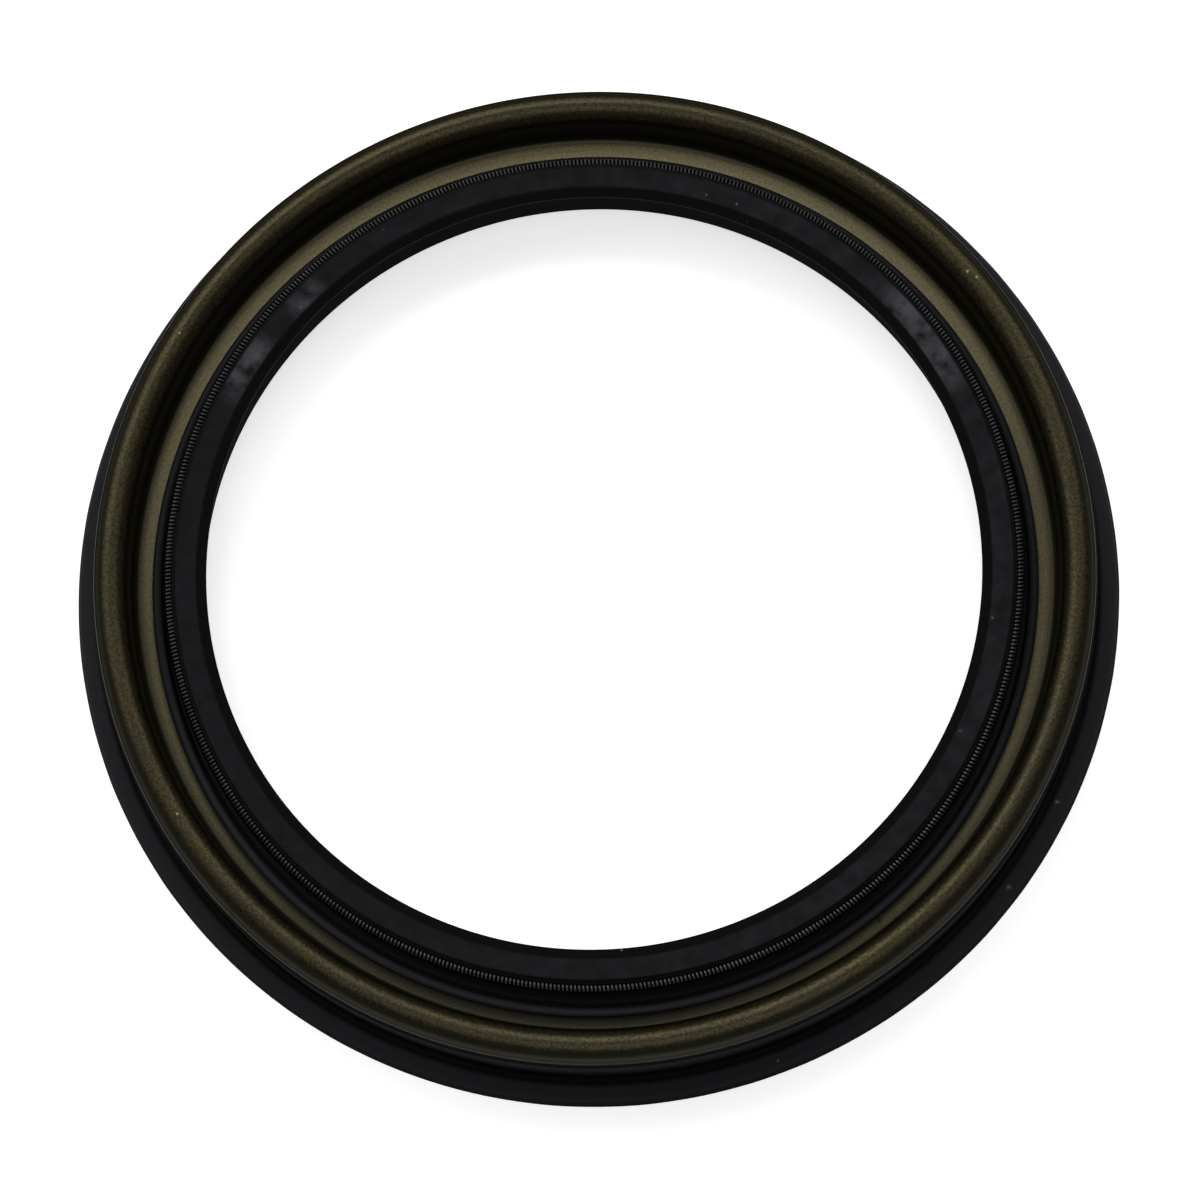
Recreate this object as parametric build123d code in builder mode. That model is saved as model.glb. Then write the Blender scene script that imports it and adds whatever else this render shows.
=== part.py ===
from build123d import *
from math import radians, tan
import os

# Radial shaft seal: a folded steel case, a rubber body bonded round it and a garter spring.
# Millimetres. The seal's axis is Z, its back face lies at Z = 0 and the spring side faces up.
# Radii are measured from the axis, heights from the back face.

# Overall
lip_bore_diameter = 73.6      # sealing edge, with no shaft in it
section_width = 10.65         # sealing edge to the outside of the case wall
seal_height = 10.0            # back face to the top of the folded rim

# Steel case, one sheet of even thickness
sheet_thickness = 1.2
fold_gap = 0.9                # between the two legs of the folded rim
fold_flat = 0.002             # flat left between the two bends of the fold
floor_height = 5.0            # top of the case floor
floor_width = 2.6             # inner edge of the floor to the wall
floor_bend = 0.65             # inside radius between floor and wall
leg_foot_height = 1.6         # lower end of the outer leg, inside the rubber

# Garter spring
coil_diameter = 1.1           # outside of the coil
spring_offset = 3.6           # sealing edge to the middle of the coil
spring_height = 7.6           # middle of the coil
spring_clearance = 0.08       # between the coil and its groove

# Sealing lip
land_width = 0.3              # narrow cylinder that touches the shaft
land_height = 7.65            # lower edge of the land
oil_side_width = 0.77         # sealing edge to the inner corner of the face
face_height = 8.3             # inner corner of the face
face_rise = 0.3               # the face climbs this much to its outer corner
face_setback = 0.68           # outer corner of the face to the middle of the coil
shelf_reach = 0.45            # rubber shelf beyond the middle of the coil
shelf_drop = 0.71             # shelf below the middle of the coil
shelf_slope = 0.95            # underside of the shelf drops this much to the neck
neck_width = 1.5              # rubber behind the sealing edge, measured level
air_side_angle = 22.0         # from the axis, between the land and the waist
waist_height = 3.5            # narrowest place of the air side
corner_round = 0.12           # moulded edges of the lip
neck_round = 0.5              # where the neck meets the shelf and the groove

# Dust lip
dust_lip_gap = 1.25           # its edge outside the sealing edge
dust_lip_height = 0.95
dust_lip_width = 0.8
dust_lip_slope = 0.9          # its outer side leans this much up to the recess

# Rubber on the case
groove_height = 4.2           # bottom of the groove between neck and ridge
groove_end = 0.12             # groove ends this far inside the floor's inner edge
ridge_height = 0.75           # crest above the case floor
ridge_width = 0.9
ridge_round = 0.4
sleeve_thickness = 0.25       # rubber outside the case wall
sleeve_height = 7.9
sleeve_lead = 0.45            # tapered top of the sleeve
flange_width = 3.1            # rubber flange beyond the case wall, at its foot
flange_height = 1.45          # crest of the flange
flange_taper = 0.6            # the crest's outer edge lies this much inside the foot
flange_round = 0.3            # outer edge of the crest
valley_drop = 0.4             # valley below the crest
valley_width = 0.75           # outside of the case wall to the far side of the valley
valley_rise = 0.35            # level distance over which the valley climbs to the crest
valley_round = 0.4
valley_foot_round = 0.2       # smaller where the valley meets the sleeve, so a housing seats low
foot_round = 0.1
back_recess_height = 2.0      # depth of the ring recess in the back
back_foot_inset = 0.4         # foot of the back face inside the case's outer leg
back_foot_slope = 0.6         # the recess wall leans this much

# Radii and heights that follow from the sizes
lip_radius = lip_bore_diameter / 2
case_radius = lip_radius + section_width
half_sheet = sheet_thickness / 2
outer_leg = case_radius - half_sheet
inner_leg = outer_leg - sheet_thickness - fold_gap
fold_bend = (outer_leg - inner_leg - fold_flat) / 2
floor_edge = inner_leg - half_sheet - floor_width
floor_middle = floor_height - half_sheet
fold_middle = seal_height - half_sheet
spring_radius = lip_radius + spring_offset
face_outer = spring_radius - face_setback
shelf_foot = spring_height - shelf_drop
waist_radius = lip_radius + (land_height - waist_height) * tan(radians(air_side_angle))
neck_top = shelf_foot - shelf_slope
neck_top_radius = lip_radius + (land_height - neck_top) * tan(radians(air_side_angle)) + neck_width
neck_foot_radius = waist_radius + neck_width
dust_lip_radius = lip_radius + dust_lip_gap
dust_lip_outer = dust_lip_radius + dust_lip_width
groove_outer = floor_edge - groove_end
ridge_outer = groove_outer + ridge_width
ridge_crest = floor_height + ridge_height
sleeve_radius = case_radius + sleeve_thickness
valley_height = flange_height - valley_drop
valley_end = case_radius + valley_width
flange_radius = case_radius + flange_width
back_foot = outer_leg - half_sheet - back_foot_inset

# Middle line of the sheet: floor, wall, fold, outer leg. Each corner has its bend radius.
fold_corners = [
    ((inner_leg, floor_middle), floor_bend + half_sheet),
    ((inner_leg, fold_middle), fold_bend),
    ((outer_leg, fold_middle), fold_bend),
]
sheet_middle = [
    ((floor_edge, floor_middle), 0),
    *fold_corners,
    ((outer_leg, leg_foot_height), 0),
]

# Outline of the rubber, round from the sealing edge and back to it. Where steel shows, it runs
# inside the sheet, and the steel is then cut out of it.
lip_corners = [
    ((lip_radius, land_height), 0),
    ((lip_radius, land_height + land_width), 0),
    ((lip_radius + oil_side_width, face_height), corner_round),
    ((face_outer, face_height + face_rise), corner_round),
    ((spring_radius + shelf_reach, shelf_foot), corner_round),
    ((neck_top_radius, neck_top), neck_round),
    ((neck_foot_radius, groove_height), neck_round),
]
ridge_corners = [
    ((groove_outer, groove_height), corner_round),
    ((groove_outer, ridge_crest), ridge_round),
    ((ridge_outer, ridge_crest), ridge_round),
    ((ridge_outer, floor_middle), 0),
]
outside_corners = [
    ((outer_leg, sleeve_height), 0),
    ((case_radius, sleeve_height), 0),
    ((sleeve_radius, sleeve_height - sleeve_lead), 0),
    ((sleeve_radius, valley_height), valley_foot_round),
    ((valley_end, valley_height), valley_round),
    ((valley_end + valley_rise, flange_height), valley_round),
    ((flange_radius - flange_taper, flange_height), flange_round),
    ((flange_radius, 0), foot_round),
]
back_corners = [
    ((back_foot, 0), foot_round),
    ((back_foot - back_foot_slope, back_recess_height), neck_round),
    ((dust_lip_outer + dust_lip_slope, back_recess_height), neck_round),
    ((dust_lip_outer, dust_lip_height), corner_round),
    ((dust_lip_radius, dust_lip_height), corner_round),
    ((waist_radius, waist_height), neck_round),
]
rubber_corners = lip_corners + ridge_corners + fold_corners + outside_corners + back_corners


with BuildPart() as steel_case:
    with BuildSketch(Plane.XZ):
        with BuildLine():
            FilletPolyline(
                *[corner for corner, bend in sheet_middle],
                radius=[bend for corner, bend in sheet_middle[1:-1]],
            )
        trace(line_width=sheet_thickness)
    revolve(axis=Axis.Z)

with BuildPart() as garter_spring:
    # The close-wound coil as one ring of its outer diameter
    with BuildSketch(Plane.XZ):
        with Locations((spring_radius, spring_height)):
            Circle(coil_diameter / 2)
    revolve(axis=Axis.Z)

with BuildPart() as rubber_body:
    with BuildSketch(Plane.XZ):
        with BuildLine():
            FilletPolyline(
                *[corner for corner, bend in rubber_corners],
                radius=[bend for corner, bend in rubber_corners],
                close=True,
            )
        make_face()
        # Groove that the spring sits in
        with Locations((spring_radius, spring_height)):
            Circle(coil_diameter / 2 + spring_clearance, mode=Mode.SUBTRACT)
    revolve(axis=Axis.Z)
    add(steel_case.part, mode=Mode.SUBTRACT)

steel_case.part.label = "steel_case"
garter_spring.part.label = "garter_spring"
rubber_body.part.label = "rubber_body"

os.makedirs("parts", exist_ok=True)
export_step(steel_case.part, "parts/steel_case.step")
export_step(garter_spring.part, "parts/garter_spring.step")
export_step(rubber_body.part, "parts/rubber_body.step")
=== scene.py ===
"""Radial shaft seal: a folded steel case, a rubber body bonded round it and a wound garter spring.

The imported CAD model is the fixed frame, and these pieces are finer versions of its three nodes. The seal's
axis is Z and its back face lies at Z = 0. Sections are given in millimetres, as the distance from the axis
and the height over the back face; Blender works in metres.
"""

import logging
import math
from dataclasses import dataclass
from enum import Enum

import bmesh
import bpy
from mathutils import Matrix, Vector, noise


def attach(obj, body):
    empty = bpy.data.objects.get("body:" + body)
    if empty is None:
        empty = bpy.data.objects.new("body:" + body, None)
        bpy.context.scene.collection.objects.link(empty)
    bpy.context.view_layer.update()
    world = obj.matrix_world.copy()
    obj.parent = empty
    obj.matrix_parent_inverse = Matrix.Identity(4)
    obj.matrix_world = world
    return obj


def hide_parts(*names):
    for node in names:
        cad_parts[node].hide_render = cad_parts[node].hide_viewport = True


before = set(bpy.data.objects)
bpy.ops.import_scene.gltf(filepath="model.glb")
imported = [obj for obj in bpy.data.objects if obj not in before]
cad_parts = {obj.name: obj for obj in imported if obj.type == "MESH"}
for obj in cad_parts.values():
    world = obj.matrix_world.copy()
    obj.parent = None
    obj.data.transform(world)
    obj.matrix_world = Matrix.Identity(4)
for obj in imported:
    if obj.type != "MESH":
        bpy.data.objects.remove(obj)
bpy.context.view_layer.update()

log = logging.getLogger("radial_shaft_seal")

MM = 0.001
X_WAY = Vector((1, 0, 0))
Y_WAY = Vector((0, 1, 0))
AXIS = Vector((0, 0, 1))
ORIGIN = Vector((0, 0, 0))
# Centre of the off-centre marks, in mm from the axis: rubber that bled where the mould sat off the case,
# whose grey is also painted shade towards -Y, and the painted highlight on the ridge's crest
MOULD_SHIFT = Vector((-0.35, -1.55, 0))


class Slot(Enum):
    """The record's material slots."""

    COATED_STEEL = "coated_steel"
    SPRING_STEEL = "spring_steel"
    RUBBER = "rubber"


@dataclass(frozen=True)
class Corner:
    """One corner of a section, in mm.

    Args:
        radius: Distance from the seal's axis.
        height: Height over the back face.
        rounding: Radius of the corner, or 0 for a sharp one.
    """

    radius: float
    height: float
    rounding: float = 0.0

    def point(self) -> Vector:
        """Place of the corner in the section plane, in metres."""
        return Vector((self.radius, 0, self.height)) * MM


@dataclass(frozen=True)
class SteelSheet:
    """Sizes of the folded case, in mm, from the floor's inner edge round to the foot of its outer leg."""

    thickness: float = 1.2
    floor_edge: float = 41.55
    floor_height: float = 5.0
    wall_face: float = 44.15
    case_radius: float = 47.45
    top: float = 10.0
    floor_bend: float = 0.65
    fold_flat: float = 0.002
    leg_foot: float = 1.6

    @property
    def fold_bend(self) -> float:
        """Outer radius of the folded rim."""
        return (self.case_radius - self.wall_face - self.fold_flat) / 2

    def upper_side(self) -> list[Corner]:
        """The side of the sheet that shows: floor, wall, fold and outer leg."""
        return [
            Corner(self.floor_edge, self.floor_height),
            Corner(self.wall_face, self.floor_height, self.floor_bend),
            Corner(self.wall_face, self.top, self.fold_bend),
            Corner(self.case_radius, self.top, self.fold_bend),
            Corner(self.case_radius, self.leg_foot),
        ]

    def lower_side(self) -> list[Corner]:
        """The side of the sheet that lies on the rubber, from the leg's foot back to the floor.

        Returns:
            Its corners.
        """
        inside_fold = self.fold_bend - self.thickness
        leg_inside = self.case_radius - self.thickness
        wall_back = self.wall_face + self.thickness
        fold_underside = self.top - self.thickness
        floor_underside = self.floor_height - self.thickness
        return [
            Corner(leg_inside, self.leg_foot),
            Corner(leg_inside, fold_underside, inside_fold),
            Corner(wall_back, fold_underside, inside_fold),
            Corner(wall_back, floor_underside, self.floor_bend + self.thickness),
            Corner(self.floor_edge, floor_underside),
        ]


@dataclass(frozen=True)
class Coil:
    """Sizes of the garter spring, in mm."""

    ring_radius: float = 40.4
    height: float = 7.6
    outer_diameter: float = 1.1
    wire_diameter: float = 0.33
    turns: int = 672
    wire_sides: int = 6
    steps_a_turn: int = 12
    weld: float = 0.03

    @property
    def pitch(self) -> float:
        """Distance from one turn to the next, along the ring."""
        return 2 * math.pi * self.ring_radius / self.turns


@dataclass(frozen=True)
class MouldedRubber:
    """Sizes of the rubber body, in mm, and its one angle in degrees."""

    lip_radius: float = 36.8
    land_height: float = 7.65
    land_width: float = 0.3
    oil_side_width: float = 0.77
    face_height: float = 8.3
    face_rise: float = 0.3
    face_outer: float = 39.72
    shelf_reach: float = 0.45
    shelf_drop: float = 0.71
    shelf_slope: float = 0.95
    spring_clearance: float = 0.08
    neck_width: float = 1.5
    neck_round: float = 0.5
    air_side_angle: float = 22.0
    waist_height: float = 3.5
    edge_round: float = 0.12
    dust_lip_radius: float = 38.05
    dust_lip_height: float = 0.95
    dust_lip_width: float = 0.8
    dust_lip_slope: float = 0.9
    groove_height: float = 4.2
    groove_end: float = 0.12
    ridge_height: float = 0.75
    ridge_width: float = 0.9
    ridge_round: float = 0.4
    sleeve_thickness: float = 0.25
    sleeve_height: float = 7.9
    sleeve_lead: float = 0.45
    flange_radius: float = 50.55
    flange_height: float = 1.45
    flange_taper: float = 0.6
    flange_round: float = 0.3
    valley_drop: float = 0.4
    valley_width: float = 0.75
    valley_rise: float = 0.35
    valley_round: float = 0.4
    valley_foot_round: float = 0.2
    foot_round: float = 0.1
    back_foot: float = 45.85
    back_foot_slope: float = 0.6
    back_recess_height: float = 2.0

    def air_side(self, height: float) -> float:
        """Radius of the lip's air side at a height."""
        return self.lip_radius + (self.land_height - height) * math.tan(math.radians(self.air_side_angle))


def hex_colour(code: str) -> tuple[float, float, float, float]:
    """Turns an sRGB hex value to the linear colour that nodes take.

    Args:
        code: Colour such as "#8a7f5c".

    Returns:
        Linear red, green, blue and an alpha of 1.
    """
    channels = (int(code[i : i + 2], 16) / 255 for i in (1, 3, 5))
    linear = (c / 12.92 if c <= 0.04045 else ((c + 0.055) / 1.055) ** 2.4 for c in channels)
    return (*linear, 1.0)


def add_node(
    tree: bpy.types.NodeTree, kind: str, inputs: dict[str | int, object] | None = None, **settings: object
) -> bpy.types.Node:
    """Adds a node with its settings, values and links.

    Args:
        tree: Node tree that gets the node.
        kind: Blender's type name of the node.
        inputs: A value or another node's output for each input, by name or number.
        settings: Properties of the node.

    Returns:
        The new node.
    """
    node = tree.nodes.new(kind)
    for name, value in settings.items():
        setattr(node, name, value)
    for key, value in (inputs or {}).items():
        if isinstance(value, bpy.types.NodeSocket):
            tree.links.new(value, node.inputs[key])
        else:
            node.inputs[key].default_value = value
    return node


def blend(
    tree: bpy.types.NodeTree, share: object, first: object, second: object, kind: str = "RGBA",
    **settings: object,
) -> bpy.types.NodeSocket:
    """Mixes two colours or two numbers. Each of them may be another node's output.

    Args:
        tree: Node tree that gets the node.
        share: How much of the second is taken, from 0 to 1.
        first: Colour or number at 0.
        second: Colour or number at 1.
        kind: Blender's type name of what is mixed.
        settings: Other properties of the node.

    Returns:
        The mixed colour or number.
    """
    inputs = {"Factor": share, "A": first, "B": second}
    return add_node(tree, "ShaderNodeMix", inputs, data_type=kind, **settings).outputs["Result"]


def reckon(tree: bpy.types.NodeTree, operation: str, first: object, second: object) -> bpy.types.NodeSocket:
    """Adds one step of arithmetic on two numbers. Each of them may be another node's output.

    Args:
        tree: Node tree that gets the node.
        operation: Blender's name of the step.
        first: First number.
        second: Second number.

    Returns:
        The result.
    """
    return add_node(tree, "ShaderNodeMath", {0: first, 1: second}, operation=operation).outputs["Value"]


def new_material(name: str) -> tuple[bpy.types.Material, bpy.types.NodeTree]:
    """Makes an empty node material.

    Args:
        name: The material's name.

    Returns:
        The material and its node tree.
    """
    material = bpy.data.materials.new(name)
    material.use_nodes = True
    material.node_tree.nodes.clear()
    return material, material.node_tree


def per_mm(size_mm: float) -> float:
    """Texture scale on Object coordinates, which are in metres, at which one feature is this many mm wide."""
    return 1.0 / (size_mm * MM)


@dataclass(frozen=True)
class Spot:
    """One small mark on the surface.

    Args:
        azimuth: Degrees round the seal from +X towards +Y.
        radius: Distance from the axis, in mm.
        height: Over the back face, in mm.
        size: Width of the mark, in mm.
    """

    azimuth: float
    radius: float
    height: float
    size: float

    def point(self) -> Vector:
        """Place of the mark, in metres."""
        around = math.radians(self.azimuth)
        return Vector((self.radius * math.cos(around), self.radius * math.sin(around), self.height)) * MM


@dataclass(frozen=True)
class Band:
    """A stretch of radii or heights, in mm.

    Args:
        low: Where it starts.
        high: Where it ends.
        soft: Width of its soft edges.
    """

    low: float
    high: float
    soft: float


class SealPlace:
    """Nodes that read where a point lies on the seal, for finishes that change over it."""

    # A spot fades between these shares of its size, and where the grain is in this range
    spot_core: float = 0.05
    spot_edge: float = 0.6
    ragged: tuple[float, float] = (0.3, 0.6)

    def __init__(self, tree: bpy.types.NodeTree, off_centre: Vector = ORIGIN) -> None:
        """Adds the nodes.

        Args:
            tree: Node tree of the finish.
            off_centre: How far from the seal's axis the radius is measured, in mm.
        """
        self.tree = tree
        self.point = add_node(tree, "ShaderNodeTexCoord").outputs["Object"]
        from_axis = add_node(
            tree, "ShaderNodeVectorMath", {0: self.point, 1: off_centre * MM}, operation="SUBTRACT"
        )
        level = add_node(
            tree, "ShaderNodeVectorMath", {0: from_axis.outputs["Vector"], 1: X_WAY + Y_WAY},
            operation="MULTIPLY",
        )
        length = add_node(tree, "ShaderNodeVectorMath", {0: level.outputs["Vector"]}, operation="LENGTH")
        self.radius = length.outputs["Value"]
        self.height = self.along(AXIS)

    def along(self, way: Vector) -> bpy.types.NodeSocket:
        """Distance of the point from the origin along one way, in metres."""
        reach = add_node(self.tree, "ShaderNodeVectorMath", {0: self.point, 1: way}, operation="DOT_PRODUCT")
        return reach.outputs["Value"]

    def within(self, value: bpy.types.NodeSocket, band: Band) -> bpy.types.NodeSocket:
        """Marks a band of radii or heights.

        Args:
            value: The radius or the height.
            band: The band.

        Returns:
            1 inside the band and 0 outside it.
        """
        edges = []
        for edge, before, after in ((band.low, 0.0, 1.0), (band.high, 1.0, 0.0)):
            ramp = add_node(
                self.tree, "ShaderNodeMapRange",
                {
                    "Value": value,
                    "From Min": (edge - band.soft / 2) * MM, "From Max": (edge + band.soft / 2) * MM,
                    "To Min": before, "To Max": after,
                },
                interpolation_type="SMOOTHSTEP",
            )
            edges.append(ramp.outputs["Result"])
        return reckon(self.tree, "MULTIPLY", *edges)

    def spots(self, places: tuple[Spot, ...], grain: bpy.types.NodeSocket) -> bpy.types.NodeSocket:
        """Marks small ragged spots.

        Args:
            places: The spots.
            grain: Noise that makes their edges ragged.

        Returns:
            1 on a spot and 0 off it.
        """
        found: bpy.types.NodeSocket | float = 0.0
        for spot in places:
            away = add_node(
                self.tree, "ShaderNodeVectorMath", {0: self.point, 1: spot.point()}, operation="DISTANCE"
            )
            mark = add_node(
                self.tree, "ShaderNodeMapRange",
                {
                    "Value": away.outputs["Value"], "From Min": spot.size * self.spot_core * MM,
                    "From Max": spot.size * self.spot_edge * MM, "To Min": 1.0, "To Max": 0.0,
                },
            )
            found = reckon(self.tree, "MAXIMUM", mark.outputs["Result"], found)
        patchy = add_node(
            self.tree, "ShaderNodeMapRange",
            {"Value": grain, "From Min": self.ragged[0], "From Max": self.ragged[1]},
        )
        return reckon(self.tree, "MULTIPLY", found, patchy.outputs["Result"])


@dataclass(frozen=True)
class PrimedSteel:
    """Cold-rolled steel sheet under a baked bonding primer.

    The thin primer film gives the eye a satin, grainy bronze. On the level floor it lies thick and pale,
    and the floor is painted lighter towards +Y and darker towards -Y as painted light and shade. The drawn
    wall under the rim is painted dark as painted shade. The outer shoulder, wiped by the mould, looks greener
    and is painted darker as painted shade. Where the mould sat off centre, a skin of rubber has bled over the
    floor and greys it; that grey, shifted towards -Y, is also painted shade. Small pale spots are painted
    glints.
    """

    name: str = "bonding_primed_steel"
    base: str = "#453d29"
    dark: str = "#2a261a"
    green: str = "#33332a"
    # Outer shoulder: a greener tone, and darker as painted shade
    outer: str = "#35342c"
    # Painted shade: the wall under the rim is coloured dark for the shade it stands in
    wall: str = "#232219"
    film: str = "#968c6b"
    film_dark: str = "#7c7359"
    # Grey of the bled rubber, which is also painted shade on the floor towards -Y
    bleed_and_shade: str = "#1e1e1b"
    # Pale colour of the steel's painted glints
    dust_and_glint: str = "#a89c74"
    dirt: str = "#080807"
    edge_tint: str = "#949494"
    # Painted light and shade: share of the floor film's colour at -Y, and the reach over which it rises to
    # full towards +Y
    near_side_shade: float = 0.42
    far_light_reach: float = 43.0
    bleed_and_shade_cover: float = 0.88
    specular: float = 0.15
    rim_metallic: float = 1.0
    wall_metallic: float = 0.5
    film_metallic: float = 0.2
    roughness: float = 0.37
    film_roughness: float = 0.62
    # The real grain is finer. It is drawn this wide so that it still shows
    grain_mm: float = 0.25
    grain_depth: float = 0.02
    grain_strength: float = 0.5
    speckle: tuple[float, float] = (0.36, 0.62)
    patch_mm: float = 5.0
    floor_radii: Band = Band(40.0, 43.45, 1.0)
    rim_heights: Band = Band(8.9, 20.0, 0.9)
    shoulder_radii: Band = Band(46.6, 60.0, 0.8)
    bleed_and_shade_radii: Band = Band(0.0, 42.0, 0.9)
    # Painted glints: small pale spots on the rim and wall
    glints: tuple[Spot, ...] = (
        Spot(28.6, 45.6, 9.95, 0.35), Spot(27.4, 45.9, 9.98, 0.28), Spot(26.4, 44.4, 8.0, 0.3),
        Spot(25.2, 44.3, 7.2, 0.25), Spot(141.0, 45.7, 9.96, 0.25), Spot(203.0, 45.5, 9.94, 0.25),
    )
    smudge: tuple[Spot, ...] = (Spot(299.0, 43.0, 5.0, 0.75),)

    def drawn_sheet(
        self, place: SealPlace, speckle: bpy.types.NodeSocket, on_rim: bpy.types.NodeSocket
    ) -> bpy.types.NodeSocket:
        """Colours the rim, its outer shoulder and the wall.

        Args:
            place: Where the point lies.
            speckle: The primer's grain.
            on_rim: 1 on the rim.

        Returns:
            Their colour.
        """
        tree = place.tree
        patches = add_node(
            tree, "ShaderNodeTexNoise", {"Vector": place.point, "Scale": per_mm(self.patch_mm), "Detail": 3.0}
        )
        tint = blend(tree, patches.outputs["Fac"], hex_colour(self.base), hex_colour(self.green))
        rim = blend(tree, speckle, hex_colour(self.dark), tint)
        on_shoulder = place.within(place.radius, self.shoulder_radii)
        # The outer shoulder takes the greener colour, darkened as painted shade
        shoulder = blend(tree, on_shoulder, rim, hex_colour(self.outer))
        # Below the rim the wall takes the dark colour of painted shade
        return blend(tree, on_rim, hex_colour(self.wall), shoulder)

    def floor_film(self, place: SealPlace, speckle: bpy.types.NodeSocket) -> bpy.types.NodeSocket:
        """Colours the floor: grainy film, painted lighter towards +Y as painted light, under the bled rubber
        and its painted shade.

        Args:
            place: Where the point lies.
            speckle: The primer's grain.

        Returns:
            The floor's colour.
        """
        tree = place.tree
        film = blend(tree, speckle, hex_colour(self.film_dark), hex_colour(self.film))
        # Painted light and shade: the film is scaled from dim at -Y to full at +Y, as the light fell on the
        # floor
        painted_far_light = add_node(
            tree, "ShaderNodeMapRange",
            {
                "Value": place.along(Y_WAY), "From Min": 0.0, "From Max": self.far_light_reach * MM,
                "To Min": self.near_side_shade,
            },
        )
        film_lit_far = blend(tree, 1.0, film, painted_far_light.outputs["Result"], blend_type="MULTIPLY")
        # Bled rubber greys the floor inside an off-centre circle; its grey is also painted shade towards -Y
        bled = SealPlace(tree, MOULD_SHIFT)
        bleed_and_shade_share = reckon(tree, "MULTIPLY", bled.within(bled.radius, self.bleed_and_shade_radii), self.bleed_and_shade_cover)
        return blend(tree, bleed_and_shade_share, film_lit_far, hex_colour(self.bleed_and_shade))

    def build(self) -> bpy.types.Material:
        """Makes the material.

        Returns:
            The material.
        """
        material, tree = new_material(self.name)
        place = SealPlace(tree)
        grain = add_node(
            tree, "ShaderNodeTexNoise",
            {"Vector": place.point, "Scale": per_mm(self.grain_mm), "Detail": 2.0, "Roughness": 0.6},
        ).outputs["Fac"]
        speckle = add_node(
            tree, "ShaderNodeMapRange",
            {"Value": grain, "From Min": self.speckle[0], "From Max": self.speckle[1]},
        ).outputs["Result"]
        on_floor = place.within(place.radius, self.floor_radii)
        on_rim = place.within(place.height, self.rim_heights)
        drawn = self.drawn_sheet(place, speckle, on_rim)
        colour = blend(tree, on_floor, drawn, self.floor_film(place, speckle))
        # Painted glints in pale spots, then a real smudge of dirt
        for marks, shade in ((self.glints, self.dust_and_glint), (self.smudge, self.dirt)):
            colour = blend(tree, place.spots(marks, grain), colour, hex_colour(shade))
        bare = blend(tree, on_rim, self.wall_metallic, self.rim_metallic, "FLOAT")
        metallic = blend(tree, on_floor, bare, self.film_metallic, "FLOAT")
        roughness = blend(tree, on_floor, self.roughness, self.film_roughness, "FLOAT")
        bump = add_node(
            tree, "ShaderNodeBump",
            {"Height": grain, "Strength": self.grain_strength, "Distance": self.grain_depth * MM},
        )
        shader = add_node(
            tree, "ShaderNodeBsdfPrincipled",
            {
                "Base Color": colour, "Metallic": metallic, "Roughness": roughness,
                "Specular IOR Level": self.specular,
                "Specular Tint": hex_colour(self.edge_tint), "Normal": bump.outputs["Normal"],
            },
        )
        add_node(tree, "ShaderNodeOutputMaterial", {"Surface": shader.outputs["BSDF"]})
        return material


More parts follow.
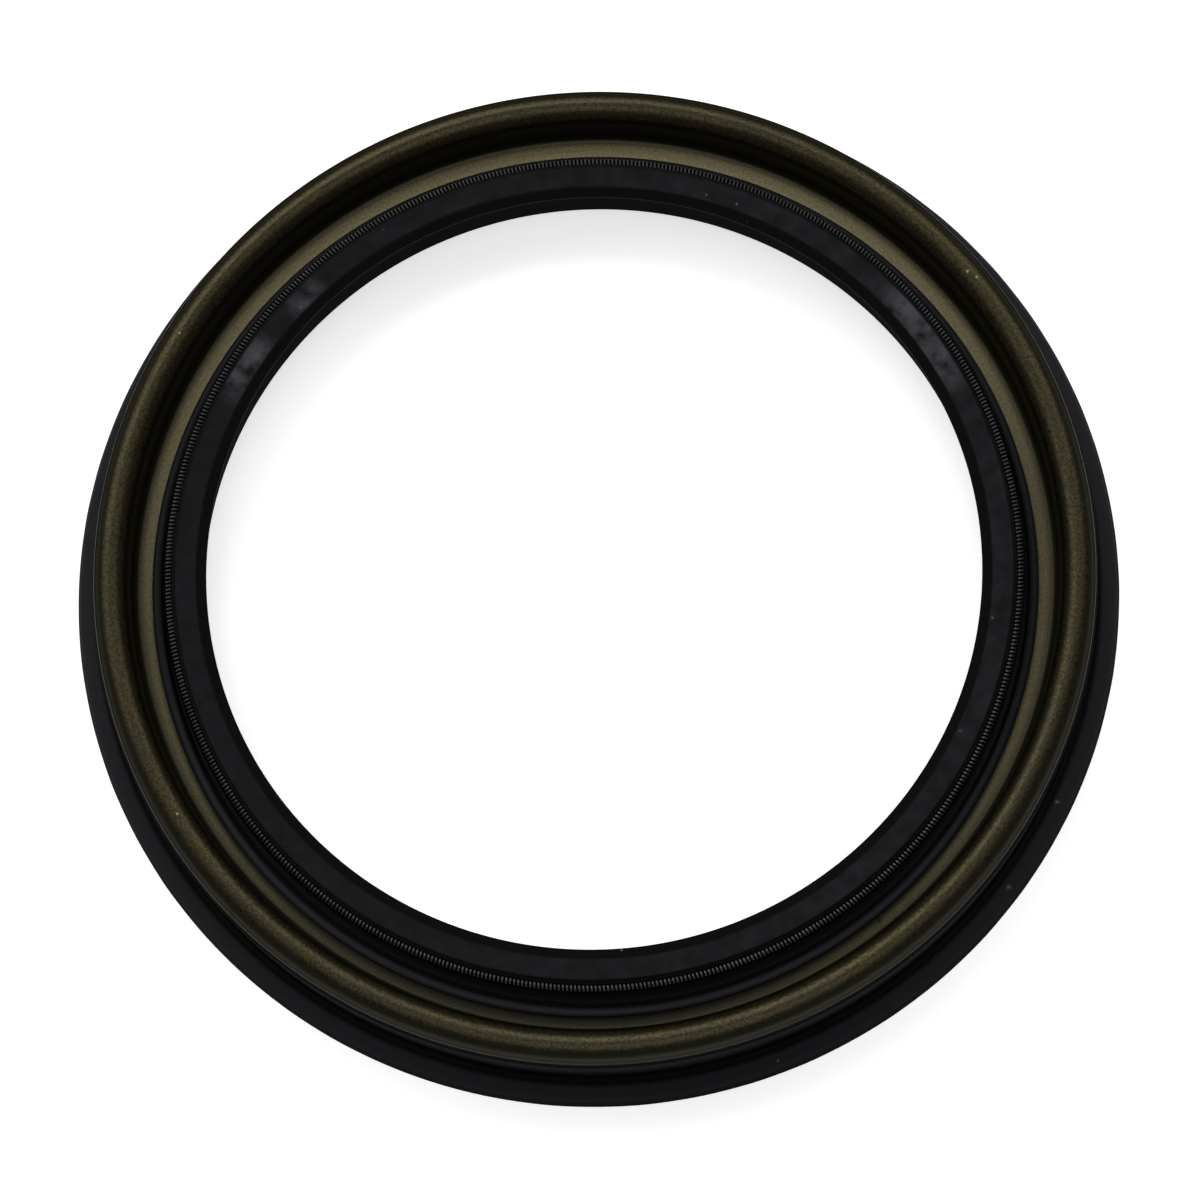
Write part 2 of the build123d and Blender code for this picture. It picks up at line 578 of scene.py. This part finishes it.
@dataclass(frozen=True)
class SealRubber:
    """Compression-moulded nitrile rubber, filled with carbon black.

    The eye sees a near-black. On the lip's face, wax that has bloomed to the surface lays a faint lilac-grey
    veil over it, slightly blotchy, which is also painted sheen and is painted lighter towards +X as painted
    light, with paler patches of painted sheen. The flange's crest, and the ridge's on the side where it
    stands widest, are painted grey as painted highlights. The spring groove and the valley are painted a
    shade paler as painted light than the sealing edge, which stays dull and black.
    """

    name: str = "moulded_nitrile_rubber"
    base: str = "#0b0b0c"
    # Painted light: the spring groove and the valley are coloured a shade paler, as if lit
    groove: str = "#1b1b1d"
    # Veil of bloomed wax on the lip's face, also painted sheen
    bloom_and_sheen: str = "#202024"
    bloom_dark: str = "#121214"
    # Painted highlight on the flange's crest and on the ridge's crest
    crest: str = "#29292d"
    # Painted sheen: paler patches on the lip's face
    sheen_patch: str = "#47474c"
    dust_and_glint: str = "#6a6a6c"
    # Pale colour of the dust specks on the rubber
    roughness: float = 0.8
    bloom_roughness: float = 0.55
    ridge_roughness: float = 0.34
    gloss: float = 0.05
    # Painted light: share of the veil left at -X, and the reach over which it grows towards +X
    shaded_side_share: float = 0.45
    light_reach: float = 30.0
    clouds: tuple[float, float] = (0.32, 0.68)
    blotch_mm: float = 1.6
    # The mould's real texture is finer. It is drawn this wide so that it still shows
    grain_mm: float = 0.25
    grain_depth: float = 0.01
    grain_strength: float = 0.2
    face_radii: Band = Band(37.75, 39.65, 0.25)
    face_heights: Band = Band(8.15, 20.0, 0.3)
    groove_radii: Band = Band(39.8, 44.0, 0.3)
    ridge_radii: Band = Band(41.0, 43.5, 0.3)
    crest_heights: Band = Band(5.5, 7.0, 0.3)
    wide_radii: Band = Band(40.0, 41.4, 0.6)
    valley_radii: Band = Band(48.0, 49.0, 0.3)
    flange_radii: Band = Band(48.7, 50.1, 0.5)
    # Places of the painted sheen patches on the lip's face
    sheen_patches: tuple[Spot, ...] = (
        Spot(141.0, 38.9, 8.45, 6.5), Spot(138.0, 38.4, 8.45, 4.5), Spot(127.0, 38.2, 8.4, 4.0),
        Spot(30.0, 39.1, 8.45, 6.0), Spot(26.0, 38.8, 8.45, 7.5), Spot(21.0, 38.6, 8.45, 6.0),
    )
    # Small pale specks of dust on the lip's face, the hole's edge and the flange
    specks: tuple[Spot, ...] = (
        Spot(112.0, 39.2, 8.5, 0.25), Spot(64.0, 38.3, 8.4, 0.25), Spot(59.4, 38.3, 8.4, 0.3),
        Spot(57.0, 37.2, 8.0, 0.25), Spot(75.5, 37.3, 8.0, 0.3), Spot(128.5, 38.2, 8.4, 0.25),
        Spot(265.0, 36.95, 8.0, 0.3), Spot(342.0, 38.0, 8.35, 0.3), Spot(325.0, 38.1, 8.35, 0.35),
        Spot(324.0, 49.0, 1.45, 0.5), Spot(313.0, 49.3, 1.45, 0.6), Spot(281.0, 49.4, 1.45, 0.3),
    )

    def veil(self, place: SealPlace, blotches: bpy.types.NodeSocket) -> bpy.types.NodeSocket:
        """Colours the bloomed wax and painted sheen, cloudy and painted lighter towards +X as painted light.

        Args:
            place: Where the point lies.
            blotches: Noise of the clouds.

        Returns:
            The veil's colour.
        """
        tree = place.tree
        clouds = add_node(
            tree, "ShaderNodeMapRange",
            {"Value": blotches, "From Min": self.clouds[0], "From Max": self.clouds[1]},
        )
        # Painted light: the veil is lighter towards +X
        lighter_towards_x = add_node(
            tree, "ShaderNodeMapRange",
            {
                "Value": place.along(X_WAY), "From Min": -self.light_reach * MM,
                "From Max": self.light_reach * MM, "To Min": self.shaded_side_share,
            },
        )
        bloomed = reckon(tree, "MULTIPLY", clouds.outputs["Result"], lighter_towards_x.outputs["Result"])
        return blend(tree, bloomed, hex_colour(self.bloom_dark), hex_colour(self.bloom_and_sheen))

    def grooves(self, place: SealPlace) -> bpy.types.NodeSocket:
        """Marks the spring groove and the valley inside the flange, which are painted paler as painted light.

        Args:
            place: Where the point lies.

        Returns:
            1 in them.
        """
        behind_lip = place.within(place.radius, self.groove_radii)
        valley = place.within(place.radius, self.valley_radii)
        return reckon(place.tree, "MAXIMUM", behind_lip, valley)

    def crest_highlights(self, place: SealPlace, ridge: bpy.types.NodeSocket) -> bpy.types.NodeSocket:
        """Marks the flange's crest, and the ridge's on the side where it stands widest, for painted
        highlights.

        Args:
            place: Where the point lies.
            ridge: 1 at the ridge's radii.

        Returns:
            1 on the crests that get painted highlights.
        """
        tree = place.tree
        top = reckon(tree, "MULTIPLY", ridge, place.within(place.height, self.crest_heights))
        off_centre = SealPlace(tree, MOULD_SHIFT)
        wide_top_highlight = reckon(tree, "MULTIPLY", top, off_centre.within(off_centre.radius, self.wide_radii))
        return reckon(tree, "MAXIMUM", place.within(place.radius, self.flange_radii), wide_top_highlight)

    def build(self) -> bpy.types.Material:
        """Makes the material.

        Returns:
            The material.
        """
        material, tree = new_material(self.name)
        place = SealPlace(tree)
        blotches = add_node(
            tree, "ShaderNodeTexNoise",
            {"Vector": place.point, "Scale": per_mm(self.blotch_mm), "Detail": 4.0},
        ).outputs["Fac"]
        grain = add_node(
            tree, "ShaderNodeTexNoise",
            {"Vector": place.point, "Scale": per_mm(self.grain_mm), "Detail": 2.0},
        ).outputs["Fac"]
        ridge = place.within(place.radius, self.ridge_radii)
        face_ring = place.within(place.radius, self.face_radii)
        on_face = reckon(tree, "MULTIPLY", face_ring, place.within(place.height, self.face_heights))
        # Painted sheen patches, kept to the lip's face
        patchy = reckon(tree, "MULTIPLY", place.spots(self.sheen_patches, blotches), on_face)
        colour: bpy.types.NodeSocket | tuple[float, float, float, float] = hex_colour(self.base)
        for mask, layer in (
            # Painted light in the spring groove and the valley
            (self.grooves(place), hex_colour(self.groove)),
            # Bloom and painted sheen on the lip's face
            (on_face, self.veil(place, blotches)),
            # Painted highlights on the crests
            (self.crest_highlights(place, ridge), hex_colour(self.crest)),
            # Painted sheen patches
            (patchy, hex_colour(self.sheen_patch)),
            (place.spots(self.specks, grain), hex_colour(self.dust_and_glint)),
        ):
            colour = blend(tree, mask, colour, layer)
        satin = blend(tree, on_face, self.roughness, self.bloom_roughness, "FLOAT")
        roughness = blend(tree, ridge, satin, self.ridge_roughness, "FLOAT")
        bump = add_node(
            tree, "ShaderNodeBump",
            {"Height": grain, "Strength": self.grain_strength, "Distance": self.grain_depth * MM},
        )
        shader = add_node(
            tree, "ShaderNodeBsdfPrincipled",
            {
                "Base Color": colour, "Roughness": roughness,
                "Specular IOR Level": self.gloss, "Normal": bump.outputs["Normal"],
            },
        )
        add_node(tree, "ShaderNodeOutputMaterial", {"Surface": shader.outputs["BSDF"]})
        return material


@dataclass(frozen=True)
class SpringWire:
    """Hard-drawn spring steel wire, darkened by oil.

    Drawn wire gives the eye a smooth dark grey that catches a small light on each turn.
    """

    name: str = "drawn_spring_wire"
    base: str = "#3b3b3d"
    dark: str = "#262627"
    roughness: float = 0.36
    stain_mm: float = 3.0

    def build(self) -> bpy.types.Material:
        """Makes the material.

        Returns:
            The material.
        """
        material, tree = new_material(self.name)
        place = SealPlace(tree)
        stains = add_node(
            tree, "ShaderNodeTexNoise", {"Vector": place.point, "Scale": per_mm(self.stain_mm), "Detail": 3.0}
        )
        colour = blend(tree, stains.outputs["Fac"], hex_colour(self.base), hex_colour(self.dark))
        shader = add_node(
            tree, "ShaderNodeBsdfPrincipled",
            {"Base Color": colour, "Metallic": 1.0, "Roughness": self.roughness},
        )
        add_node(tree, "ShaderNodeOutputMaterial", {"Surface": shader.outputs["BSDF"]})
        return material


@dataclass(frozen=True)
class PaleFloor:
    """Matt white studio floor, which shows as white and keeps a faint shadow."""

    name: str = "studio_white"
    base: str = "#e6e6e6"
    white: str = "#ffffff"
    glow: float = 0.62

    def build(self) -> bpy.types.Material:
        """Makes the material.

        Returns:
            The material.
        """
        material, tree = new_material(self.name)
        rays = add_node(tree, "ShaderNodeLightPath").outputs
        seen = rays["Is Camera Ray"]
        for kind in ("Is Glossy Ray", "Is Transmission Ray"):
            seen = reckon(tree, "MAXIMUM", seen, rays[kind])
        plain = add_node(tree, "ShaderNodeBsdfDiffuse", {"Color": hex_colour(self.base)})
        glow = add_node(
            tree, "ShaderNodeEmission", {"Color": hex_colour(self.white), "Strength": self.glow}
        )
        bright = add_node(
            tree, "ShaderNodeAddShader", {0: plain.outputs["BSDF"], 1: glow.outputs["Emission"]}
        )
        mix = add_node(
            tree, "ShaderNodeMixShader",
            {"Fac": seen, 1: plain.outputs["BSDF"], 2: bright.outputs["Shader"]},
        )
        add_node(tree, "ShaderNodeOutputMaterial", {"Surface": mix.outputs["Shader"]})
        return material


@dataclass(frozen=True)
class Lathe:
    """Spins rounded sections round the seal's axis.

    Args:
        steps: Divisions round the ring.
        arc_step: Largest turn of one facet of a rounded corner, in degrees.
        sharp_angle: Edges that turn more than this stay crisp, in degrees.
        weld: Points nearer than this become one, in mm.
    """

    steps: int = 288
    arc_step: float = 11.0
    sharp_angle: float = 28.0
    weld: float = 0.0005

    def section(self, corners: list[Corner]) -> bmesh.types.BMesh:
        """Draws a closed outline and rounds its corners.

        Args:
            corners: The outline's corners in order.

        Returns:
            A bmesh with the outline's edges.
        """
        outline = bmesh.new()
        verts = [outline.verts.new(corner.point()) for corner in corners]
        for vert, following in zip(verts, verts[1:] + verts[:1]):
            outline.edges.new((vert, following))
        for index, (vert, corner) in enumerate(zip(verts, corners)):
            if not corner.rounding:
                continue
            arriving = corner.point() - corners[index - 1].point()
            leaving = corners[(index + 1) % len(corners)].point() - corner.point()
            turn = arriving.angle(leaving)
            bmesh.ops.bevel(
                outline, geom=[vert], affect="VERTICES", offset_type="OFFSET",
                offset=corner.rounding * MM * math.tan(turn / 2),
                segments=max(2, math.ceil(math.degrees(turn) / self.arc_step)),
                profile=0.5, material=-1, clamp_overlap=False,
            )
        return outline

    def spin(self, outline: bmesh.types.BMesh) -> bmesh.types.BMesh:
        """Spins an outline a full turn and closes it.

        Args:
            outline: A closed outline in the XZ plane.

        Returns:
            The same bmesh, now a ring.
        """
        bmesh.ops.spin(
            outline, geom=[*outline.verts, *outline.edges], cent=ORIGIN, axis=AXIS, dvec=ORIGIN,
            angle=2 * math.pi, steps=self.steps, use_merge=True,
        )
        bmesh.ops.remove_doubles(outline, verts=outline.verts, dist=self.weld * MM)
        bmesh.ops.recalc_face_normals(outline, faces=outline.faces)
        return outline

    def finish(self, ring: bmesh.types.BMesh, name: str, material: bpy.types.Material) -> bpy.types.Object:
        """Turns a ring into a smooth object at the origin.

        Args:
            ring: The finished bmesh, which is freed.
            name: The object's name.
            material: Its finish.

        Returns:
            The new object.
        """
        for face in ring.faces:
            face.smooth = True
        mesh = bpy.data.meshes.new(name)
        ring.to_mesh(mesh)
        ring.free()
        mesh.set_sharp_from_angle(angle=math.radians(self.sharp_angle))
        mesh.materials.append(material)
        piece = bpy.data.objects.new(name, mesh)
        bpy.context.scene.collection.objects.link(piece)
        weights = piece.modifiers.new("level_shading", "WEIGHTED_NORMAL")
        weights.keep_sharp = True
        return piece


@dataclass(frozen=True)
class SteelCase:
    """The folded steel case."""

    sheet: SteelSheet
    finish: PrimedSteel
    lathe: Lathe = Lathe()

    def build(self) -> bpy.types.Object:
        """Makes the case and puts it in its node's place.

        Returns:
            The case.
        """
        ring = self.lathe.spin(self.lathe.section(self.sheet.upper_side() + self.sheet.lower_side()))
        piece = self.lathe.finish(ring, "folded_case", self.finish.build())
        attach(piece, "root")
        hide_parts("steel_case")
        return piece


@dataclass(frozen=True)
class GarterSpring:
    """The close-wound spring in the groove behind the lip."""

    coil: Coil
    finish: SpringWire
    lathe: Lathe = Lathe()

    def wind(self) -> bmesh.types.BMesh:
        """Winds one turn of wire, then repeats it round the ring.

        Returns:
            The closed coil.
        """
        coil = self.coil
        middle = Vector((coil.ring_radius, 0, coil.height)) * MM
        wire_radius = coil.wire_diameter * MM / 2
        start = middle + Vector((coil.outer_diameter * MM / 2 - wire_radius, 0, 0))
        wound = bmesh.new()
        bmesh.ops.create_circle(
            wound, cap_ends=False, radius=wire_radius, segments=coil.wire_sides,
            matrix=Matrix.Translation(start),
        )
        bmesh.ops.spin(
            wound, geom=[*wound.verts, *wound.edges], cent=middle, axis=(0, 1, 0),
            dvec=(0, coil.pitch * MM / coil.steps_a_turn, 0), angle=2 * math.pi,
            steps=coil.steps_a_turn, use_merge=False,
        )
        bmesh.ops.spin(
            wound, geom=[*wound.verts, *wound.edges, *wound.faces], cent=ORIGIN, axis=AXIS, dvec=ORIGIN,
            angle=2 * math.pi * (coil.turns - 1) / coil.turns, steps=coil.turns - 1, use_duplicate=True,
        )
        bmesh.ops.remove_doubles(wound, verts=wound.verts, dist=coil.weld * MM)
        bmesh.ops.recalc_face_normals(wound, faces=wound.faces)
        return wound

    def build(self) -> bpy.types.Object:
        """Makes the spring and puts it in its node's place.

        Returns:
            The spring.
        """
        piece = self.lathe.finish(self.wind(), "wound_spring", self.finish.build())
        # The wire's facets are all alike, so its shading needs no levelling
        piece.modifiers.clear()
        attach(piece, "root")
        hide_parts("garter_spring")
        return piece


@dataclass(frozen=True)
class RubberBody:
    """Sealing lip, dust lip, covers and outer flange, moulded in one.

    Args:
        rubber: Sizes of the moulding.
        sheet: Sizes of the case that it covers.
        coil: Sizes of the spring that it holds.
        finish: Its finish.
        lathe: Spins its section.
        groove_steps: Divisions of the spring's seat.
        ridge_shift: How far the mould sat off the case, in mm.
        ridge_foot: Height over the case floor at which the ridge starts to lean, in mm.
        reach: Points of the ridge are found to within this, in mm.
        trim_width: Width of the flange's edge that was trimmed, in mm.
        trim_depth: Deepest cut of the trimming, in mm.
        trim_length: Width of one wave of the trimming, in mm.
    """

    rubber: MouldedRubber
    sheet: SteelSheet
    coil: Coil
    finish: SealRubber
    lathe: Lathe = Lathe()
    groove_steps: int = 14
    ridge_shift: Vector = Vector((-0.08, -0.4, 0))
    ridge_foot: float = 0.05
    reach: float = 0.05
    trim_width: float = 0.5
    trim_depth: float = 0.05
    trim_length: float = 3.5

    def lip(self) -> list[Corner]:
        """Sealing edge, face, spring groove and neck.

        Returns:
            Corners from the sealing edge to the groove behind the neck.
        """
        rubber, coil = self.rubber, self.coil
        groove = coil.outer_diameter / 2 + rubber.spring_clearance
        face_top = rubber.face_height + rubber.face_rise
        shelf_foot = coil.height - rubber.shelf_drop
        shelf_edge = coil.ring_radius + rubber.shelf_reach
        neck_top = shelf_foot - rubber.shelf_slope
        neck_foot = rubber.air_side(rubber.waist_height) + rubber.neck_width
        return [
            Corner(rubber.lip_radius, rubber.land_height),
            Corner(rubber.lip_radius, rubber.land_height + rubber.land_width),
            Corner(rubber.lip_radius + rubber.oil_side_width, rubber.face_height, rubber.edge_round),
            Corner(rubber.face_outer, face_top, rubber.edge_round),
            *self.spring_groove(groove, face_top),
            Corner(shelf_edge, shelf_foot, rubber.edge_round),
            Corner(rubber.air_side(neck_top) + rubber.neck_width, neck_top, rubber.neck_round),
            Corner(neck_foot, rubber.groove_height, rubber.neck_round),
        ]

    def spring_groove(self, groove: float, face_top: float) -> list[Corner]:
        """Round seat of the spring: the arc that a circle round the coil cuts out of the lip's slanted back.

        Args:
            groove: Radius of the seat.
            face_top: Height of the lip face's outer edge.

        Returns:
            Corners of the seat from its top to its foot.
        """
        rubber, coil = self.rubber, self.coil
        top = Vector((rubber.face_outer, face_top))
        foot = Vector((coil.ring_radius + rubber.shelf_reach, coil.height - rubber.shelf_drop))
        middle = Vector((coil.ring_radius, coil.height))
        run = foot - top
        reach = top - middle
        half = run.dot(reach)
        spread = math.sqrt(half * half - run.length_squared * (reach.length_squared - groove * groove))
        first = top + run * ((-half - spread) / run.length_squared)
        last = top + run * ((-half + spread) / run.length_squared)
        start = math.atan2(first.y - middle.y, first.x - middle.x)
        end = math.atan2(last.y - middle.y, last.x - middle.x)
        sweep = (end - start) % (2 * math.pi)
        corners = []
        for step in range(self.groove_steps + 1):
            angle = start + sweep * step / self.groove_steps
            corners.append(Corner(middle.x + groove * math.cos(angle), middle.y + groove * math.sin(angle)))
        return corners

    def covers(self) -> list[Corner]:
        """Ridge on the case floor, then the hidden contact with the sheet round its outer leg's foot.

        Returns:
            Corners from the ridge to the outside of the outer leg.
        """
        rubber, sheet = self.rubber, self.sheet
        groove_outer = sheet.floor_edge - rubber.groove_end
        ridge_outer = groove_outer + rubber.ridge_width
        crest = sheet.floor_height + rubber.ridge_height
        return [
            Corner(groove_outer, rubber.groove_height, rubber.edge_round),
            Corner(groove_outer, sheet.floor_height + self.ridge_foot),
            Corner(groove_outer, crest, rubber.ridge_round),
            Corner(ridge_outer, crest, rubber.ridge_round),
            Corner(ridge_outer, sheet.floor_height),
            Corner(sheet.floor_edge, sheet.floor_height),
            *reversed(sheet.lower_side()),
            sheet.upper_side()[-1],
        ]

    def outside(self) -> list[Corner]:
        """Sleeve, valley and flange.

        Returns:
            Corners from the top of the sleeve to the back face.
        """
        rubber, sheet = self.rubber, self.sheet
        sleeve = sheet.case_radius + rubber.sleeve_thickness
        valley = rubber.flange_height - rubber.valley_drop
        valley_end = sheet.case_radius + rubber.valley_width
        return [
            Corner(sheet.case_radius, rubber.sleeve_height),
            Corner(sleeve, rubber.sleeve_height - rubber.sleeve_lead),
            Corner(sleeve, valley, rubber.valley_foot_round),
            Corner(valley_end, valley, rubber.valley_round),
            Corner(valley_end + rubber.valley_rise, rubber.flange_height, rubber.valley_round),
            Corner(rubber.flange_radius - rubber.flange_taper, rubber.flange_height, rubber.flange_round),
            Corner(rubber.flange_radius, 0, rubber.foot_round),
        ]

    def back(self) -> list[Corner]:
        """Back face, recess, dust lip and air side.

        Returns:
            Corners from the back face to the waist.
        """
        rubber = self.rubber
        dust_lip_outer = rubber.dust_lip_radius + rubber.dust_lip_width
        return [
            Corner(rubber.back_foot, 0, rubber.foot_round),
            Corner(rubber.back_foot - rubber.back_foot_slope, rubber.back_recess_height, rubber.neck_round),
            Corner(dust_lip_outer + rubber.dust_lip_slope, rubber.back_recess_height, rubber.neck_round),
            Corner(dust_lip_outer, rubber.dust_lip_height, rubber.edge_round),
            Corner(rubber.dust_lip_radius, rubber.dust_lip_height, rubber.edge_round),
            Corner(rubber.air_side(rubber.waist_height), rubber.waist_height, rubber.neck_round),
        ]

    def shift_ridge(self, ring: bmesh.types.BMesh) -> None:
        """Moves the ridge's crest sideways, as the mould that sat a little off the case left it.

        Args:
            ring: The rubber's mesh.
        """
        inner = self.sheet.floor_edge - self.rubber.groove_end
        outer = inner + self.rubber.ridge_width
        foot = self.sheet.floor_height
        for vert in ring.verts:
            radius, height = vert.co.xy.length / MM, vert.co.z / MM
            at_ridge = inner - self.reach < radius < outer + self.reach
            on_crest = at_ridge and height > foot + self.ridge_foot + self.reach
            on_outer_foot = abs(radius - outer) < self.reach and abs(height - foot) < self.reach
            if on_crest or on_outer_foot:
                vert.co += self.ridge_shift * MM

    def trim_flange(self, ring: bmesh.types.BMesh) -> None:
        """Leaves the flange's edge slightly uneven, as trimming its flash does. It only cuts inwards.

        Args:
            ring: The rubber's mesh.
        """
        for vert in ring.verts:
            level = Vector((vert.co.x, vert.co.y, 0))
            if level.length / MM > self.rubber.flange_radius - self.trim_width:
                wave = noise.noise(level * per_mm(self.trim_length))
                cut = self.trim_depth * (1 + wave) / 2
                vert.co -= level.normalized() * cut * MM

    def build(self) -> bpy.types.Object:
        """Makes the rubber and puts it in its node's place.

        Returns:
            The rubber.
        """
        corners = self.lip() + self.covers() + self.outside() + self.back()
        ring = self.lathe.spin(self.lathe.section(corners))
        self.shift_ridge(ring)
        self.trim_flange(ring)
        piece = self.lathe.finish(ring, "moulded_rubber", self.finish.build())
        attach(piece, "root")
        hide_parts("rubber_body")
        return piece


@dataclass(frozen=True)
class ViewCamera:
    """Camera of the main view: a long lens over the near side of the ring, turned a little.

    Args:
        tilt: Angle between the seal's axis and the line of sight, in degrees.
        roll: Turn round the line of sight, in degrees.
        distance: From the aim to the camera along the line of sight, in mm.
        aim_height: Height of the aim on the seal's axis, in mm.
        aim_right: How far right of the picture's middle the aim falls, in mm at that distance.
        aim_up: How far above the middle it falls.
        lens: Focal length, in mm.
        sensor: Width of the sensor, in mm.
        clip: Nearest and farthest distance that it sees, in metres.
    """

    tilt: float = 14.07
    roll: float = 9.46
    distance: float = 321.67
    aim_height: float = 8.401
    aim_right: float = -0.738
    aim_up: float = 3.623
    lens: float = 102.0
    sensor: float = 36.0
    clip: tuple[float, float] = (0.01, 20.0)

    def build(self) -> bpy.types.Object:
        """Makes the camera and gives it to the scene.

        Returns:
            The camera.
        """
        tilt, roll = math.radians(self.tilt), math.radians(self.roll)
        level_up = Vector((0, math.cos(tilt), math.sin(tilt)))
        right = X_WAY * math.cos(roll) - level_up * math.sin(roll)
        up = X_WAY * math.sin(roll) + level_up * math.cos(roll)
        back = Vector((0, -math.sin(tilt), math.cos(tilt)))
        aim = AXIS * self.aim_height - right * self.aim_right - up * self.aim_up
        place = (aim + back * self.distance) * MM
        data = bpy.data.cameras.new("view_camera")
        data.lens = self.lens
        data.sensor_width = self.sensor
        data.clip_start, data.clip_end = self.clip
        camera = bpy.data.objects.new("view_camera", data)
        camera.matrix_world = Matrix.Translation(place) @ Matrix((right, up, back)).transposed().to_4x4()
        bpy.context.scene.collection.objects.link(camera)
        bpy.context.scene.camera = camera
        return camera


@dataclass(frozen=True)
class Softbox:
    """A square area lamp that faces the seal.

    Args:
        name: The lamp's name.
        azimuth: Where it stands round the seal, in degrees from +X towards +Y.
        elevation: Height over the floor, in degrees.
        brightness: Radiance of its face, where 1 shows as white.
        distance: From the seal, in metres.
        side: Width of the box, in metres.
    """

    name: str
    azimuth: float
    elevation: float
    brightness: float
    distance: float = 0.6
    side: float = 0.3

    def build(self) -> bpy.types.Object:
        """Makes the lamp.

        Returns:
            The lamp.
        """
        around, over = math.radians(self.azimuth), math.radians(self.elevation)
        away = Vector((math.cos(around) * math.cos(over), math.sin(around) * math.cos(over), math.sin(over)))
        data = bpy.data.lights.new(self.name, "AREA")
        data.shape = "SQUARE"
        data.size = self.side
        data.energy = self.brightness * math.pi * self.side**2
        lamp = bpy.data.objects.new(self.name, data)
        lamp.location = away * self.distance
        lamp.rotation_mode = "QUATERNION"
        lamp.rotation_quaternion = (-away).to_track_quat("-Z", "Y")
        bpy.context.scene.collection.objects.link(lamp)
        return lamp


@dataclass(frozen=True)
class Studio:
    """Pale floor, soft lamps and a plain pale world.

    Args:
        floor: Finish of the floor.
        lamps: The lamps.
        floor_side: Width of the floor, in metres.
        floor_drop: Gap under the seal's back face, in mm, so that the two never share a plane.
        ambient: Radiance of the world, where 1 shows as white.
    """

    floor: PaleFloor
    lamps: tuple[Softbox, ...]
    floor_side: float = 4.0
    floor_drop: float = 0.02
    ambient: float = 0.2

    def lay_floor(self) -> bpy.types.Object:
        """Makes the floor under the seal's back face.

        Returns:
            The floor.
        """
        plane = bmesh.new()
        bmesh.ops.create_grid(plane, x_segments=1, y_segments=1, size=self.floor_side / 2)
        mesh = bpy.data.meshes.new("studio_floor")
        plane.to_mesh(mesh)
        plane.free()
        mesh.materials.append(self.floor.build())
        floor = bpy.data.objects.new("studio_floor", mesh)
        floor.location.z = -self.floor_drop * MM
        bpy.context.scene.collection.objects.link(floor)
        return floor

    def light_world(self) -> None:
        """Gives the world a dim white for light and a full white for what is seen."""
        world = bpy.data.worlds.new("studio_world")
        bpy.context.scene.world = world
        world.use_nodes = True
        tree = world.node_tree
        tree.nodes.clear()
        rays = add_node(tree, "ShaderNodeLightPath").outputs
        sky = hex_colour(self.floor.white)
        dim = add_node(tree, "ShaderNodeBackground", {"Color": sky, "Strength": self.ambient})
        white = add_node(tree, "ShaderNodeBackground", {"Color": sky, "Strength": 1.0})
        mix = add_node(
            tree, "ShaderNodeMixShader",
            {"Fac": rays["Is Camera Ray"], 1: dim.outputs["Background"], 2: white.outputs["Background"]},
        )
        add_node(tree, "ShaderNodeOutputWorld", {"Surface": mix.outputs["Shader"]})

    def build(self) -> None:
        """Makes the floor, the world and the lamps."""
        self.lay_floor()
        self.light_world()
        for lamp in self.lamps:
            lamp.build()


def main() -> None:
    """Builds the seal, the studio and the camera."""
    logging.basicConfig(level=logging.INFO, format="%(message)s")
    bpy.context.scene.view_settings.view_transform = "Standard"
    sheet, coil = SteelSheet(), Coil()
    ViewCamera().build()
    Studio(
        PaleFloor(),
        (
            Softbox("back_softbox", azimuth=96, elevation=52, brightness=3.9),
            Softbox("back_left_softbox", azimuth=140, elevation=50, brightness=2.4),
            Softbox("back_right_softbox", azimuth=45, elevation=50, brightness=2.2),
            Softbox("top_softbox", azimuth=270, elevation=78, brightness=2.0),
        ),
    ).build()
    for part in (
        SteelCase(sheet, PrimedSteel()),
        RubberBody(MouldedRubber(), sheet, coil, SealRubber()),
        GarterSpring(coil, SpringWire()),
    ):
        piece = part.build()
        log.info("%s: %d faces", piece.name, len(piece.data.polygons))


if __name__ == "__main__":
    main()
